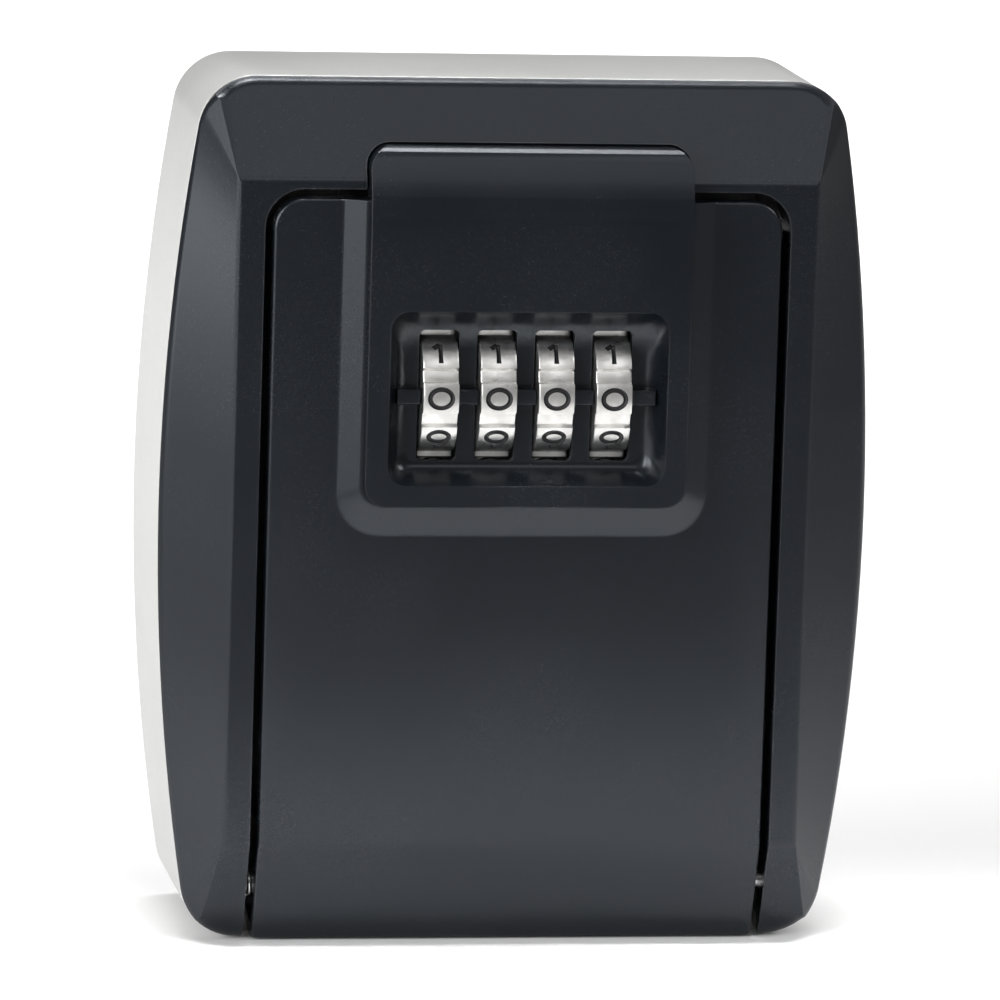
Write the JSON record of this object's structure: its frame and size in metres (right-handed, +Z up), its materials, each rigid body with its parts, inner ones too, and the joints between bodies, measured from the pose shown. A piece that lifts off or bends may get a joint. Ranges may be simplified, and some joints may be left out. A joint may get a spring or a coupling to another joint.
{
  "type": "key lock box",
  "caption": "Wall-mounted key lock box: barrel-sided case, drop-down door hinged at the foot, and a combination wheel lock in a raised face with a reset lever behind.",
  "frame": {"origin": "centre of the back face that is screwed to the wall", "axes": "+Y into the wall, -Y out of the front, +Z up, +X to the right seen from the front"},
  "size_m": [0.0988, 0.0395, 0.12],
  "materials": {
    "rear_case": "light silver grey powder coat, satin",
    "front_shell": "charcoal black powder coat, fine texture, satin",
    "wheel_chrome": "bright nickel plate with black filled digits",
    "cam_brass": "machined",
    "zinc_steel": "zinc plated sheet",
    "pin_steel": "ground rod",
    "screw_steel": "zinc plated",
    "spring_steel": "drawn wire and strip",
    "housing": "black moulded nylon",
    "latch": "die cast zinc, tumbled",
    "reset_lever": "moulded"
  },
  "bodies": {
    "case": {"rear_case": "rear_case", "front_frame": "front_shell", "keeper_plate": "zinc_steel", "keeper_screws": "screw_steel", "frame_screws": "screw_steel", "hinge_pin": "pin_steel", "door_spring": "spring_steel"},
    "door": {"door_panel": "front_shell", "lock_face": "front_shell", "lock_housing": "housing", "lock_cover": "zinc_steel", "lock_screws": "screw_steel", "wheel_shaft": "pin_steel", "detent_spring": "spring_steel", "wave_spring": "spring_steel", "latch_springs": "spring_steel"},
    "wheel_1": {"number_wheel_1": "wheel_chrome"},
    "wheel_2": {"number_wheel_2": "wheel_chrome"},
    "wheel_3": {"number_wheel_3": "wheel_chrome"},
    "wheel_4": {"number_wheel_4": "wheel_chrome"},
    "reset": {"reset_lever": "reset_lever"},
    "cam_1": {"gate_cam_1": "cam_brass"},
    "cam_2": {"gate_cam_2": "cam_brass"},
    "cam_3": {"gate_cam_3": "cam_brass"},
    "cam_4": {"gate_cam_4": "cam_brass"},
    "latch": {"latch_bar": "latch"}
  },
  "joints": [
    {"name": "door_hinge", "type": "hinge", "parent": "case", "child": "door", "pos_m": [0, -0.0295, -0.0524], "axis": [1, 0, 0], "range_deg": [0, 90]},
    {"name": "wheel_1_spin", "type": "hinge", "parent": "door", "child": "wheel_1", "pos_m": [-0.012, -0.0289, 0.017], "axis": [1, 0, 0], "continuous": true},
    {"name": "wheel_2_spin", "type": "hinge", "parent": "door", "child": "wheel_2", "pos_m": [-0.004, -0.0289, 0.017], "axis": [1, 0, 0], "continuous": true},
    {"name": "wheel_3_spin", "type": "hinge", "parent": "door", "child": "wheel_3", "pos_m": [0.004, -0.0289, 0.017], "axis": [1, 0, 0], "continuous": true},
    {"name": "wheel_4_spin", "type": "hinge", "parent": "door", "child": "wheel_4", "pos_m": [0.012, -0.0289, 0.017], "axis": [1, 0, 0], "continuous": true},
    {"name": "reset_slide", "type": "slide", "parent": "door", "child": "reset", "axis": [-1, 0, 0], "range_m": [0, 0.0012]},
    {"name": "cam_1_spin", "type": "hinge", "parent": "reset", "child": "cam_1", "pos_m": [-0.012, -0.0289, 0.017], "axis": [1, 0, 0], "continuous": true},
    {"name": "cam_2_spin", "type": "hinge", "parent": "reset", "child": "cam_2", "pos_m": [-0.004, -0.0289, 0.017], "axis": [1, 0, 0], "continuous": true},
    {"name": "cam_3_spin", "type": "hinge", "parent": "reset", "child": "cam_3", "pos_m": [0.004, -0.0289, 0.017], "axis": [1, 0, 0], "continuous": true},
    {"name": "cam_4_spin", "type": "hinge", "parent": "reset", "child": "cam_4", "pos_m": [0.012, -0.0289, 0.017], "axis": [1, 0, 0], "continuous": true},
    {"name": "latch_slide", "type": "slide", "parent": "door", "child": "latch", "axis": [0, 0, 1], "range_m": [0, 0.0025], "deforming": ["latch_springs"]}
  ],
  "couplings": [
    {"joint": "cam_1_spin", "follows": "wheel_1_spin", "ratio": 1},
    {"joint": "cam_2_spin", "follows": "wheel_2_spin", "ratio": 1},
    {"joint": "cam_3_spin", "follows": "wheel_3_spin", "ratio": 1},
    {"joint": "cam_4_spin", "follows": "wheel_4_spin", "ratio": 1}
  ]
}
